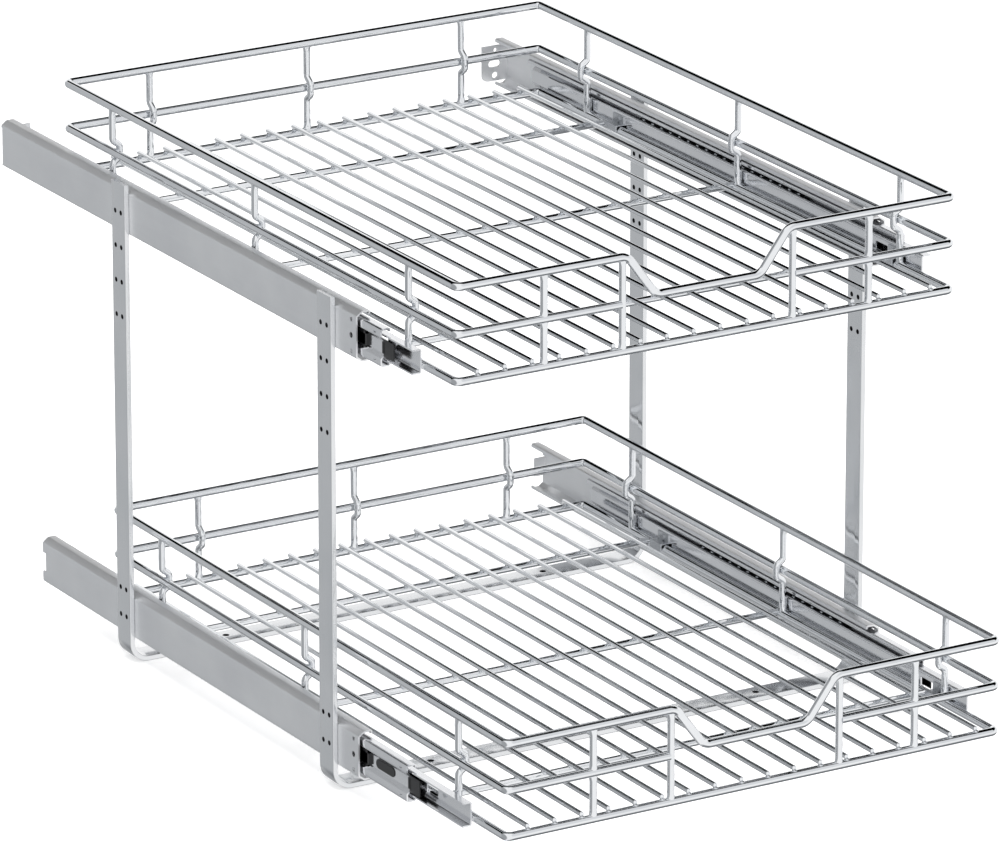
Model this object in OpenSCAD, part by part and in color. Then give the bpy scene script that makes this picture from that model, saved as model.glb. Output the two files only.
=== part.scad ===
// Two-tier pull-out wire basket for a kitchen base cabinet.
// Two U-shaped flat-steel straps stand on the cabinet floor and carry four
// ball-bearing slides. A welded wire basket hangs between each pair of slides.
// X is to the right, Y towards the back, Z up. The origin lies on the cabinet
// floor, on the centre plane, midway between the two straps.
// The baskets are drawn partly pulled out, the lower one further.

/* [Mounting straps] */
// Overall width over the two legs of a strap
frame_w = 422.4; // [380:0.2:520]
// Height of the strap legs above the cabinet floor
frame_h = 350; // [349:1:420]
// Thickness of the strap steel
strap_t = 3.7; // [3:0.1:5]
// Width of the strap steel
strap_w = 18.5; // [16:0.5:30]
// Distance between the front strap and the rear strap
strap_pitch = 286.5; // [240:0.5:320]
// Outer radius of the strap's two floor bends
strap_bend_r = 15; // [8:1:22]
// Diameter of the tapped holes in the legs
tapped_d = 3.3; // [3:0.1:4]
// Distance between the two holes of a tapped pair
tapped_pitch = 8; // [7.5:0.5:10]
// Distance between the spare rows of tapped holes
spare_row_step = 25; // [20:1:30]
// Spare rows of tapped holes under the upper slide
spare_rows = 3; // [1:1:5]
// Diameter of the floor screw holes
floor_hole_d = 4.5; // [4:0.1:6]
// Distance between the two floor screw holes of a strap
floor_hole_span = 260; // [200:5:320]

/* [Slides] */
// Height of the lower slides' centre line
lower_slide_z = 33.7; // [30:0.1:45]
// Distance between the lower slides and the upper slides
tier_pitch = 295.5; // [280:0.5:298]
// How far the outer members reach in front of the middle of the frame
rail_reach = 180; // [165:1:200]
// Length of the upper outer members
upper_rail_len = 503; // [460:1:560]
// Length of the lower outer members
lower_rail_len = 451; // [420:1:500]
// How much shorter the inner members are than the outer ones
rail_setback = 13; // [10:1:20]
// How far the upper basket stands open as drawn
upper_open = 64.5; // [10:0.5:200]
// How far the lower basket stands open as drawn
lower_open = 128.5; // [10:0.5:200]
// Full travel of the upper basket
upper_travel = 484.5; // [400:0.5:490]
// Full travel of the lower basket
lower_travel = 438.5; // [360:0.5:440]
// Overall height of the outer member
rail_h = 35.2; // [35:0.1:37]
// Depth of the outer member
rail_depth = 10.9; // [10.9:0.1:12]
// Sheet thickness of the outer member
rail_t = 1.2; // [1:0.05:1.3]
// Height of the outer member's bevelled edge
bevel_h = 3.2; // [2.8:0.1:3.6]
// Depth of the outer member's bevelled edge
bevel_depth = 4.4; // [4:0.1:4.8]
// Sheet thickness of the intermediate and drawer members
member_t = 1.1; // [0.9:0.05:1.2]
// Sheet thickness of the ball cages
cage_t = 0.5; // [0.4:0.05:0.6]
// Diameter of the balls in the outer raceways
outer_ball_d = 2.6; // [2.4:0.1:2.8]
// Diameter of the balls in the inner raceways
inner_ball_d = 3; // [2.8:0.1:3.2]
// Distance between neighbouring balls in a cage
ball_pitch = 12; // [10:0.5:16]
// Free play of the balls above and below
ball_play = 0.27; // [0.25:0.01:0.35]

/* [Basket] */
// Depth of a basket, centre to centre of its rim wires
basket_d = 537; // [480:1:538]
// Reach of the basket in front of its slides
front_overhang = 40; // [35:1:45]
// Radius of the rim corners
corner_r = 4; // [4:1:20]
// Diameter of the rim wires
rim_d = 6; // [5.6:0.1:6.4]
// Diameter of the upright wires
post_d = 5; // [4.5:0.1:5.5]
// Diameter of the cross wires under the floor
cross_d = 5; // [4:0.1:5.5]
// Diameter of the floor wires
floor_d = 3.5; // [3:0.1:4]
// Number of floor wires
floor_count = 18; // [12:1:20]
// Distance from the side rim to the first floor wire
floor_margin = 15.9; // [12:0.1:20]
// Height of the middle rim above the bottom rim
middle_rise = 32.5; // [30:0.5:34]
// Height of the top rim above the bottom rim
top_rise = 65; // [60:1:80]
// Height of the hand dip's floor above the bottom rim
dip_rise = 35.4; // [34:0.1:45]
// Width of the hand dip at the top rim
dip_top_w = 125.2; // [110:0.2:130]
// Radius of the bends of the hand dip
dip_r = 10; // [6:1:12]
// Distance of the inner front posts from the centre plane
inner_post_x = 66; // [65.5:0.5:80]
// Distance of the outer front posts from the centre plane
outer_post_x = 126; // [100:1:160]
// Distance of the outer back posts from the centre plane
back_post_x = 126.5; // [100:0.5:160]
// First side post, behind the front rim
side_post_front = 62.5; // [50:0.5:65]
// Middle side post, behind the front rim
side_post_middle = 268.5; // [200:0.5:300]
// Last side post, in front of the back rim
side_post_back = 66.5; // [50:0.5:85]
// First cross wire, behind the front rim
cross_front = 84; // [84:1:120]
// Middle cross wire, behind the front rim
cross_middle = 272; // [220:1:320]
// Last cross wire, in front of the back rim
cross_back = 92; // [80:1:130]

/* [Joining] */
// Depth that a welded wire sinks into its neighbour
weld_sink = 1.2; // [1:0.1:1.5]
// Depth that crossing wires are pressed into each other
cross_sink = 0.1; // [0.1:0.05:0.3]
// Drop of the bottom rim below the slides' centre line
rim_drop = 3.7; // [3:0.1:4]
// Gap between the bottom rim and the drawer member
rim_gap = 0.05; // [0.05:0.05:0.3]
// Length of a rim clip
clip_len = 14; // [10:1:14]
// Sheet thickness of a rim clip
clip_t = 1; // [0.8:0.1:1.2]
// Shank diameter of the rivets that hold the clips
rivet_d = 3; // [2.5:0.1:3.2]

/* [Hidden] */
$fn = 48;
LOWER = 0;
UPPER = 1;
TIERS = [LOWER, UPPER];
SIDES = [-1, 1];
TIER_NAME = ["lower", "upper"];
BASKET_PIECES = [
    "top_rim", "middle_rim", "bottom_rim", "cross_wires", "floor_wires", "front_posts",
    "side_posts", "back_posts", "rim_clips", "clip_rivets"
];
SLIDE_PIECES = [
    "outer_rail", "middle_rail", "drawer_rail", "slide_plastics", "outer_cage",
    "outer_balls", "inner_cage", "inner_balls"
];

cut = 1;                               // how far a cutting shape overshoots
leg_inner = frame_w / 2 - strap_t;     // inner face of a strap leg, from the centre plane
slide_z = [lower_slide_z, lower_slide_z + tier_pitch];
rail_len = [lower_rail_len, upper_rail_len];
open = [lower_open, upper_open];
travel = [lower_travel, upper_travel];

// Slide section, measured inwards from the strap leg (u) and up from the slide's centre (v)
rail_top = rail_h / 2;
rail_flat = rail_top - bevel_h;        // half height of the outer member's flat web
rail_lip = 2.6;                        // depth of the outer member's hooked edge
cage_play = 0.35;                      // clearance on each side of a cage
middle_top = rail_top - rail_t - outer_ball_d - 2 * ball_play;
middle_u = rail_t + cage_t + 2 * cage_play;
middle_pocket = 3.2;                   // depth of the pocket down the intermediate member's middle
middle_web_u = middle_u + middle_pocket;
middle_web_half = 4.1;                 // half height of the pocket's floor; its walls slope 45 degrees
middle_bevel = 0.8;                    // rounding of the intermediate member's outer corners
middle_setback = 4;                    // intermediate member's front behind its half-way place
bend_shift = tan(45 / 2);              // how far a 45 degree bend moves along, for each mm inwards
middle_recess = 0.9;                   // intermediate member behind the outer member's inner edge
middle_depth = rail_depth - middle_recess;
middle_lip = 2.5;
middle_fillet = 0.3;                   // inside bend of the intermediate member's strips
drawer_top = middle_top - member_t - inner_ball_d - 2 * ball_play;
slide_gap = 0.6;                       // between the outer member's lip and the drawer member's web
slide_w = rail_depth + slide_gap + member_t;
inner_cage_u = middle_web_u + member_t + cage_play;
inner_cage_strip_u = inner_cage_u - middle_pocket;
drawer_edge_gap = 1.15;                // from the inner cage's strips to the drawer member's edges
drawer_flange_u = inner_cage_strip_u + cage_t + drawer_edge_gap;
outer_ball_v = rail_top - rail_t - ball_play - outer_ball_d / 2;
outer_ball_u = 6.8;
inner_ball_v = drawer_top + ball_play + inner_ball_d / 2;
inner_ball_u = 6.75;
ball_seat_play = 0.06;                 // clearance of a ball in its cage, on the radius
outer_cage_play = 6;                   // cage to outer member's end when fully open
inner_cage_play = 20;                  // cage to intermediate member's end when fully open

basket_w = 2 * (leg_inner - slide_w - rim_gap) - rim_d;
side_x = basket_w / 2;
side_posts_y = [side_post_front, side_post_middle, basket_d - side_post_back];
cross_y = [cross_front, cross_middle, basket_d - cross_back];
floor_wire_z = rim_d / 2 + floor_d / 2 - cross_sink;
cross_wire_z = rim_d / 2 - cross_d / 2;
kink_reach = (rim_d + post_d) / 2 - cross_sink;
kink_hold = 4.2;                       // half height of a kink's straight middle
slope_run = 3 / 4;                     // sloped wires run 3 one way while they run 4 the other
kink_run = slope_run * kink_reach;     // height over which a kink comes back
kink_r = 3.6;
dip_floor_half = dip_top_w / 2 - slope_run * (top_rise - dip_rise);

strap_steel = "#c4c6c9";
slide_steel = "#b4b7bb";
wire_steel = "#d6d8da";
dark_plastic = "#1b1c1e";
ball_steel = "#e6e7e8";

function slide_node(t, side, piece) =
    str(TIER_NAME[t], "_", side < 0 ? "left_" : "right_", piece);
function basket_y(t) = -rail_reach - front_overhang - open[t];
function rim_z(t) = slide_z[t] - rim_drop;
function member_len(t) = rail_len[t] - rail_setback;
function member_front(t, share) = -rail_reach - share * open[t];
function middle_front(t) = member_front(t, 1 / 2) + middle_setback;
function ball_count(t) =
    floor((member_len(t) - travel[t] / 2 - inner_cage_play - outer_cage_play) / ball_pitch);
function cage_front(t, play, share) = member_front(t, share) + play + travel[t] / 4;

// ---- shared shapes ----

function unit(v) = v / norm(v);
function bend_reach(a, b, c, r) = r * tan(acos(unit(b - a) * unit(c - b)) / 2);

// A sheet section from its upper half, whose first and last points lie on the centre line
function mirrored(half) = concat(half, [for (i = [len(half) - 1:-1:0]) [half[i].x, -half[i].y]]);

// A section drawn in X and Z, drawn out towards the back
module along_y(start, length)
    translate([0, start + length, 0])
        rotate([90, 0, 0])
            linear_extrude(length)
                children();

// A cylinder whose axis runs along X from x = 0
module along_x(d, length)
    rotate([0, 90, 0])
        cylinder(d = d, h = length);

// Puts a slide's section (u, y, v) against the left or right strap leg
module at_side(side, z)
    translate([side * leg_inner, 0, z])
        mirror([side > 0 ? 1 : 0, 0, 0])
            children();

module straight_wire(a, b, d) {
    run = b - a;
    translate(a)
        rotate([0, acos(run.z / norm(run)), atan2(run.y, run.x)])
            cylinder(d = d, h = norm(run));
}

// A quarter turn of wire or less, from the X axis towards the Y axis
module arc_wire(turn, r, d)
    difference() {
        rotate_extrude(angle = 90)
            translate([r, 0])
                circle(d = d);
        if (turn < 90)
            rotate([0, 0, turn])
                translate([0, 0, -d])
                    cube([r + d, r + d, 2 * d]);
    }

// The bend at b of a wire that comes from a and leaves to c
module wire_bend(a, b, c, r, d) {
    leg_in = unit(b - a);
    leg_out = unit(c - b);
    axis = unit(cross(leg_in, leg_out));
    outward = cross(leg_in, axis);
    centre = b - leg_in * bend_reach(a, b, c, r) - outward * r;
    multmatrix([
        [outward.x, leg_in.x, axis.x, centre.x],
        [outward.y, leg_in.y, axis.y, centre.y],
        [outward.z, leg_in.z, axis.z, centre.z],
        [0, 0, 0, 1]
    ])
        arc_wire(acos(leg_in * leg_out), r, d);
}

// A wire through points, with radii[i] as its bend at point i; the ends have no bend
module bent_wire(points, radii, d) {
    last = len(points) - 1;
    reach = [
        for (i = [0:last])
            i == 0 || i == last ? 0 : bend_reach(points[i - 1], points[i], points[i + 1], radii[i])
    ];
    for (i = [0:last - 1]) {
        step = unit(points[i + 1] - points[i]);
        straight_wire(points[i] + step * reach[i], points[i + 1] - step * reach[i + 1], d);
    }
    for (i = [1:last - 1])
        wire_bend(points[i - 1], points[i], points[i + 1], radii[i], d);
}

module in_basket(t)
    translate([0, basket_y(t), rim_z(t)])
        children();

// ---- mounting straps and their screws ----

module strap(y) {
    half = frame_w / 2;
    flat_half = half - strap_bend_r;
    color(strap_steel)
        translate([0, y, 0])
            difference() {
                union() {
                    translate([-flat_half, -strap_w / 2, 0])
                        cube([2 * flat_half, strap_w, strap_t]);
                    for (side = SIDES) {
                        translate([side * (half - strap_t / 2) - strap_t / 2, -strap_w / 2, strap_bend_r])
                            cube([strap_t, strap_w, frame_h - strap_bend_r]);
                        translate([side * flat_half, 0, strap_bend_r])
                            rotate([90, 0, 0])
                                rotate([0, 0, side > 0 ? -90 : 180])
                                    rotate_extrude(angle = 90)
                                        translate([strap_bend_r - strap_t, -strap_w / 2])
                                            square([strap_t, strap_w]);
                    }
                }
                for (side = SIDES) {
                    translate([side * floor_hole_span / 2, 0, -cut])
                        cylinder(d = floor_hole_d, h = strap_t + 2 * cut);
                    for (z = tapped_rows(), dy = [-1, 1])
                        translate([side > 0 ? leg_inner - cut : -half - cut, dy * tapped_pitch / 2, z])
                            along_x(tapped_d, strap_t + 2 * cut);
                }
            }
}

spare_low_step = 20;                   // spare row above the lower slide
function tapped_rows() = concat(
    slide_z,
    [slide_z[LOWER] + spare_low_step],
    [for (i = [1:spare_rows]) slide_z[UPPER] - i * spare_row_step]
);

thread_play = 0.1;                     // screw shank in its tapped hole, on the diameter
screw_shank_d = tapped_d - thread_play;
screw_head_d = 7;
screw_neck_d = 4.6;
screw_tip_gap = 0.4;                   // from the screw's tip to the outside of the strap
screw_cross = [4, 0.9, 0.5];           // length, width and depth of the driver's cross

// Countersunk screw, seen from its head at the slide's flat web
module slide_screw()
    difference() {
        union() {
            rotate([0, 90, 0])
                cylinder(d1 = screw_neck_d, d2 = screw_head_d, h = rail_t);
            translate([screw_tip_gap - strap_t, 0, 0])
                along_x(screw_shank_d, strap_t - screw_tip_gap + rail_t / 2);
        }
        for (turn = [0, 90])
            translate([rail_t - screw_cross.z / 2 + cut / 2, 0, 0])
                rotate([turn, 0, 0])
                    cube([screw_cross.z + cut, screw_cross.x, screw_cross.y], center = true);
    }

module at_slide_screws()
    for (y = [-strap_pitch / 2, strap_pitch / 2], dy = [-1, 1])
        translate([0, y + dy * tapped_pitch / 2, 0])
            children();

module screws(t)
    color(slide_steel)
        for (side = SIDES)
            at_side(side, slide_z[t])
                at_slide_screws()
                    slide_screw();

// ---- slides ----

// Half section of the outer member, above its centre line
outer_half = [
    [0, 0],
    [0, rail_flat],
    [bevel_depth, rail_top],
    [rail_depth - rail_t / 2, rail_top],
    [rail_depth, rail_top - rail_t / 2],
    [rail_depth, rail_top - rail_lip],
    [rail_depth - rail_t, rail_top - rail_lip],
    [rail_depth - rail_t, rail_top - rail_t],
    [bevel_depth + rail_t / 3, rail_top - rail_t],
    [rail_t, rail_flat - rail_t / 2],
    [rail_t, 0]
];

front_hole_inset = 6.5;
front_hole_d = 4;
front_square = 2.8;
front_square_v = 11;
tab_inset = [3, 0];                    // rear tab in front of the member's end, per tier
tab_depth = [10.5, 22.5];              // how far the rear tab reaches inwards, per tier
tab_v = [[-7, 7], [-14, 12.8]];        // lower and upper edge of the rear tab, per tier
tab_corner_r = [1, 5];                 // radius of the rear tab's lower corner, per tier
tab_slot_len = 10;
tab_slot_w = 5;
tab_slot_uv = [12.2, -1];
tab_hole_d = 4.8;
tab_hole_uv = [11.7, -9.7];
tab_small_d = 3;
tab_small_uv = [11.4, 9.3];

// A tab bent inwards from the web; behind it the web is open to the member's end
module rear_tab(t, back) {
    r = tab_corner_r[t];
    translate([0, back - rail_t, tab_v[t][0]]) {
        cube([tab_depth[t] - r, rail_t, tab_v[t][1] - tab_v[t][0]]);
        translate([0, 0, r])
            cube([tab_depth[t], rail_t, tab_v[t][1] - tab_v[t][0] - r]);
        translate([tab_depth[t] - r, rail_t, r])
            rotate([90, 0, 0])
                cylinder(r = r, h = rail_t);
    }
}

module outer_rail(t, side) {
    back = rail_len[t] - rail_reach - tab_inset[t];
    color(slide_steel)
        at_side(side, slide_z[t])
            difference() {
                union() {
                    along_y(-rail_reach, rail_len[t])
                        polygon(mirrored(outer_half));
                    rear_tab(t, back);
                }
                if (tab_inset[t] > 0)
                    translate([-cut, back, tab_v[t][0]])
                        cube([rail_t + 2 * cut, tab_inset[t] + cut, tab_v[t][1] - tab_v[t][0]]);
                at_slide_screws()
                    rotate([0, 90, 0])
                        cylinder(d1 = screw_neck_d, d2 = screw_head_d, h = rail_t);
                translate([-cut, front_hole_inset - rail_reach, 0])
                    along_x(front_hole_d, rail_t + 2 * cut);
                for (v = [-1, 1])
                    translate([0, front_hole_inset - rail_reach, v * front_square_v])
                        cube([2 * (rail_t + cut), front_square, front_square], center = true);
                if (t == UPPER)
                    tab_holes(back);
            }
}

module tab_holes(back) {
    slot_half = (tab_slot_len - tab_slot_w) / 2;
    for (du = [-slot_half, slot_half])
        translate([tab_slot_uv[0] + du, back + cut, tab_slot_uv[1]])
            rotate([90, 0, 0])
                cylinder(d = tab_slot_w, h = rail_t + 2 * cut);
    translate([tab_slot_uv[0] - slot_half, back - rail_t - cut, tab_slot_uv[1] - tab_slot_w / 2])
        cube([2 * slot_half, rail_t + 2 * cut, tab_slot_w]);
    translate([tab_hole_uv[0], back + cut, tab_hole_uv[1]])
        rotate([90, 0, 0])
            cylinder(d = tab_hole_d, h = rail_t + 2 * cut);
    translate([tab_small_uv[0], back + cut, tab_small_uv[1]])
        rotate([90, 0, 0])
            cylinder(d = tab_small_d, h = rail_t + 2 * cut);
}

// Half section of the intermediate member: a channel with a pocket pressed down its middle
middle_half = [
    [middle_web_u, 0],
    [middle_web_u, middle_web_half],
    [middle_u, middle_web_half + middle_pocket],
    [middle_u, middle_top - middle_bevel],
    [middle_u + middle_bevel, middle_top],
    [middle_depth, middle_top],
    [middle_depth, middle_top - middle_lip],
    [middle_depth - member_t, middle_top - middle_lip],
    [middle_depth - member_t, middle_top - member_t],
    [middle_u + member_t + middle_fillet, middle_top - member_t],
    [middle_u + member_t, middle_top - member_t - middle_fillet],
    [middle_u + member_t, middle_web_half + middle_pocket + member_t * bend_shift],
    [middle_web_u + member_t, middle_web_half + member_t * bend_shift],
    [middle_web_u + member_t, 0]
];

latch_slot = [20.5, 45.5];             // front and back end of the latch slot, behind the front
latch_slot_w = 7;
strip_slot = [3, 1.2];                 // length and height of the small slots in the strips
strip_slot_y = 8;
strip_slot_v = 9.5;

module rounded_slot(y0, y1, w, u0, depth) {
    for (y = [y0 + w / 2, y1 - w / 2])
        translate([u0, y, 0])
            along_x(w, depth);
    translate([u0, y0 + w / 2, -w / 2])
        cube([depth, y1 - y0 - w, w]);
}

module middle_rail(t, side) {
    front = middle_front(t);
    color(slide_steel)
        at_side(side, slide_z[t])
            difference() {
                along_y(front, member_len(t) - middle_setback)
                    polygon(mirrored(middle_half));
                translate([0, front, 0])
                    rounded_slot(
                        latch_slot[0], latch_slot[1], latch_slot_w, middle_web_u - cut, member_t + 2 * cut
                    );
                for (v = [-1, 1])
                    translate([middle_u, front + strip_slot_y, v * strip_slot_v])
                        cube([2 * member_t + cut, strip_slot.x, strip_slot.y], center = true);
            }
}

latch_clearance = 0.2;
latch_proud = 0.5;                     // latch insert stands out of the pocket's floor by this much
block_y = [[52.5, 74], [20.5, 48]];    // plastic block in the pocket, behind the front, per tier
block_u = 3.7;                         // outer face of the block
bumper_y = [-13, 2];                   // front bumper, partly in front of the member
bumper_half = 6;
bumper_t = 0.85;

// Dark plastic parts that ride on the intermediate member
module slide_plastics(t, side) {
    block_half = middle_web_half + middle_web_u - block_u;
    color(dark_plastic)
        at_side(side, slide_z[t])
            translate([0, middle_front(t), 0]) {
                rounded_slot(
                    latch_slot[0] + latch_clearance, latch_slot[1] - latch_clearance,
                    latch_slot_w - 2 * latch_clearance, middle_web_u - latch_proud, member_t + latch_proud
                );
                along_y(block_y[t][0], block_y[t][1] - block_y[t][0])
                    polygon([
                        [block_u, -block_half],
                        [block_u, block_half],
                        [middle_web_u, middle_web_half],
                        [middle_web_u, -middle_web_half]
                    ]);
                translate([middle_web_u - bumper_t, bumper_y[0], -bumper_half])
                    cube([bumper_t, -bumper_y[0], 2 * bumper_half]);
                translate([middle_web_u - bumper_t, -cut, -middle_web_half])
                    cube([bumper_t, bumper_y[1] + cut, 2 * middle_web_half]);
            }
}

drawer_half = [
    [slide_w, 0],
    [slide_w, drawer_top],
    [drawer_flange_u, drawer_top],
    [drawer_flange_u, drawer_top - member_t],
    [slide_w - member_t, drawer_top - member_t],
    [slide_w - member_t, 0]
];

front_tab_half = 5;
window_y = [42, 57];                   // window in the drawer member's web, behind its front end
window_half = 4;

module drawer_rail(t, side) {
    front = member_front(t, 1);
    tab_u = middle_web_u + cage_play;
    color(slide_steel)
        at_side(side, slide_z[t])
            difference() {
                union() {
                    along_y(front, member_len(t))
                        polygon(mirrored(drawer_half));
                    translate([tab_u, front, -front_tab_half])
                        cube([slide_w - tab_u, member_t, 2 * front_tab_half]);
                }
                translate([slide_w - member_t - cut, front + window_y[0], -window_half])
                    cube([member_t + 2 * cut, window_y[1] - window_y[0], 2 * window_half]);
                for (y = clip_y())
                    translate([slide_w - member_t - cut, y + basket_y(t) + clip_len / 2, clip_rivet_v])
                        along_x(rivet_d, member_t + 2 * cut);
            }
}

outer_cage_drop = 0.95;                // cage corner below the web's flat height
outer_cage_corner = rail_flat - outer_cage_drop;
outer_cage_top = outer_ball_v + cage_t / 2;
outer_cage_edge = 8.9;
outer_cage_half = [
    [rail_t + cage_play, 0],
    [rail_t + cage_play, outer_cage_corner],
    [bevel_depth - 2 * cage_play, outer_cage_top],
    [outer_cage_edge, outer_cage_top],
    [outer_cage_edge, outer_cage_top - cage_t],
    [bevel_depth - cage_play, outer_cage_top - cage_t],
    [rail_t + cage_play + cage_t, outer_cage_corner - cage_play],
    [rail_t + cage_play + cage_t, 0]
];
inner_cage_top = inner_ball_v + cage_t / 2;
inner_cage_edge = 8.55;
inner_cage_web_half = middle_web_half + (member_t + cage_play) * bend_shift;
inner_cage_half = [
    [inner_cage_u, 0],
    [inner_cage_u, inner_cage_web_half],
    [inner_cage_strip_u, inner_cage_web_half + middle_pocket],
    [inner_cage_strip_u, inner_cage_top],
    [inner_cage_edge, inner_cage_top],
    [inner_cage_edge, inner_cage_top - cage_t],
    [inner_cage_strip_u + cage_t, inner_cage_top - cage_t],
    [inner_cage_strip_u + cage_t, inner_cage_web_half + middle_pocket + cage_t * bend_shift],
    [inner_cage_u + cage_t, inner_cage_web_half + cage_t * bend_shift],
    [inner_cage_u + cage_t, 0]
];

// Every ball's place in a cage: upper and lower row
module at_balls(t, front, u, v)
    for (row = [-1, 1], i = [0:ball_count(t) - 1])
        translate([u, front + (i + 1 / 2) * ball_pitch, row * v])
            children();

module cage(t, side, half, front, u, v, ball_d)
    color(slide_steel)
        at_side(side, slide_z[t])
            difference() {
                along_y(front, ball_count(t) * ball_pitch)
                    polygon(mirrored(half));
                at_balls(t, front, u, v)
                    cylinder(d = ball_d + 2 * ball_seat_play, h = 2 * cut, center = true);
            }

module balls(t, side, front, u, v, ball_d)
    color(ball_steel)
        at_side(side, slide_z[t])
            at_balls(t, front, u, v)
                sphere(d = ball_d, $fn = 24);

function outer_race_front(t) = cage_front(t, outer_cage_play, 1 / 4);
function inner_race_front(t) = cage_front(t, inner_cage_play, 3 / 4);

module outer_cage(t, side)
    cage(t, side, outer_cage_half, outer_race_front(t), outer_ball_u, outer_ball_v, outer_ball_d);

module outer_balls(t, side)
    balls(t, side, outer_race_front(t), outer_ball_u, outer_ball_v, outer_ball_d);

module inner_cage(t, side)
    cage(t, side, inner_cage_half, inner_race_front(t), inner_ball_u, inner_ball_v, inner_ball_d);

module inner_balls(t, side)
    balls(t, side, inner_race_front(t), inner_ball_u, inner_ball_v, inner_ball_d);

// ---- baskets ----

// Corners of a rim, from its front left corner round the back to its front right one
function rim_corners(z) = [
    [-side_x, 0, z],
    [-side_x, basket_d, z],
    [side_x, basket_d, z],
    [side_x, 0, z]
];

// A rim that starts and ends at the middle of its front run
module closed_rim(z, front_right, front_left, front_radii)
    bent_wire(
        concat(front_left, rim_corners(z), front_right),
        concat(front_radii, [for (i = [1:4]) corner_r], front_radii),
        rim_d
    );

module bottom_rim(t)
    color(wire_steel)
        in_basket(t)
            closed_rim(0, [[0, 0, 0]], [[0, 0, 0]], [0]);

module middle_rim(t) {
    end_x = inner_post_x + post_d / 2 - weld_sink;
    color(wire_steel)
        in_basket(t)
            closed_rim(middle_rise, [[end_x, 0, middle_rise]], [[-end_x, 0, middle_rise]], [0]);
}

// The top rim dips at the front to leave room for a hand
module top_rim(t)
    color(wire_steel)
        in_basket(t)
            closed_rim(
                top_rise,
                [[dip_top_w / 2, 0, top_rise], [dip_floor_half, 0, dip_rise], [0, 0, dip_rise]],
                [[0, 0, dip_rise], [-dip_floor_half, 0, dip_rise], [-dip_top_w / 2, 0, top_rise]],
                [dip_r, dip_r, dip_r]
            );

module cross_wires(t) {
    half = side_x - rim_d / 2 + weld_sink;
    color(wire_steel)
        in_basket(t)
            for (y = cross_y)
                straight_wire([-half, y, cross_wire_z], [half, y, cross_wire_z], cross_d);
}

floor_back_reach = 2.5;                // floor wires end this far behind the back rim's centre

module floor_wires(t) {
    first = floor_margin - side_x;
    pitch = -2 * first / (floor_count - 1);
    color(wire_steel)
        in_basket(t)
            for (i = [0:floor_count - 1])
                straight_wire(
                    [first + i * pitch, 0, floor_wire_z],
                    [first + i * pitch, basket_d + floor_back_reach, floor_wire_z],
                    floor_d
                );
}

// Straight posts: the inner pair runs from rim to rim, the outer pair is two butted lengths
module front_posts(t) {
    inset = rim_d / 2 - weld_sink;
    color(wire_steel)
        in_basket(t)
            for (side = SIDES) {
                straight_wire(
                    [side * inner_post_x, 0, inset],
                    [side * inner_post_x, 0, top_rise - inset], post_d
                );
                straight_wire(
                    [side * outer_post_x, 0, inset],
                    [side * outer_post_x, 0, middle_rise - inset], post_d
                );
                straight_wire(
                    [side * outer_post_x, 0, middle_rise + inset],
                    [side * outer_post_x, 0, top_rise - inset], post_d
                );
            }
}

// A post that kinks inwards to pass the middle rim; inward is a unit vector
module kinked_post(foot, inward) {
    inset = rim_d / 2 - weld_sink;
    levels = [
        [0, inset],
        [0, middle_rise - kink_hold - kink_run],
        [kink_reach, middle_rise - kink_hold],
        [kink_reach, middle_rise + kink_hold],
        [0, middle_rise + kink_hold + kink_run],
        [0, top_rise - inset]
    ];
    bent_wire(
        [for (level = levels) foot + inward * level[0] + [0, 0, level[1]]],
        [for (level = levels) kink_r],
        post_d
    );
}

module side_posts(t)
    color(wire_steel)
        in_basket(t)
            for (side = SIDES, y = side_posts_y)
                kinked_post([side * side_x, y, 0], [-side, 0, 0]);

module back_posts(t)
    color(wire_steel)
        in_basket(t)
            for (x = [-back_post_x, 0, back_post_x])
                kinked_post([x, basket_d, 0], [0, -1, 0]);

// ---- clips that hold a basket's bottom rim down on its drawer members ----

clip_top_v = 6.2;                      // top of a clip, above the slide's centre
clip_rivet_v = 2.9;
clip_lead = 18;                        // front of a clip, in front of its cross wire
clip_rise = 0.3;                       // gap between the rim and the clip's saddle
clip_drop = 4.5;                       // how far the clip's hook hangs down inside the rim
rivet_head_d = 4.4;
rivet_head_t = 0.7;

function clip_y() = [
    side_post_front + post_d / 2 + clip_t,
    basket_d - cross_back - cross_d / 2 - clip_lead
];

module at_clips(t)
    for (side = SIDES, y = clip_y())
        translate([side * (side_x + rim_d / 2 + rim_gap), basket_y(t) + y, rim_z(t)])
            mirror([side > 0 ? 1 : 0, 0, 0])
                children();

module rim_clips(t) {
    saddle_z = rim_d / 2 + clip_rise;
    hook_x = rim_gap + rim_d + clip_rise;
    top_z = rim_drop + clip_top_v;
    color(slide_steel)
        at_clips(t)
            difference() {
                along_y(0, clip_len)
                    polygon([
                        [0, saddle_z],
                        [0, top_z],
                        [clip_t, top_z],
                        [clip_t, saddle_z + clip_t],
                        [hook_x + clip_t, saddle_z + clip_t],
                        [hook_x + clip_t, saddle_z - clip_drop],
                        [hook_x, saddle_z - clip_drop],
                        [hook_x, saddle_z]
                    ]);
                translate([-cut, clip_len / 2, rim_drop + clip_rivet_v])
                    along_x(rivet_d, clip_t + 2 * cut);
            }
}

module clip_rivets(t)
    color(slide_steel)
        at_clips(t)
            translate([0, clip_len / 2, rim_drop + clip_rivet_v]) {
                translate([-member_t, 0, 0])
                    along_x(rivet_d, member_t + clip_t);
                translate([clip_t, 0, 0])
                    along_x(rivet_head_d, rivet_head_t);
                translate([-member_t - rivet_head_t, 0, 0])
                    along_x(rivet_head_d, rivet_head_t);
            }

// ---- nodes ----

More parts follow.
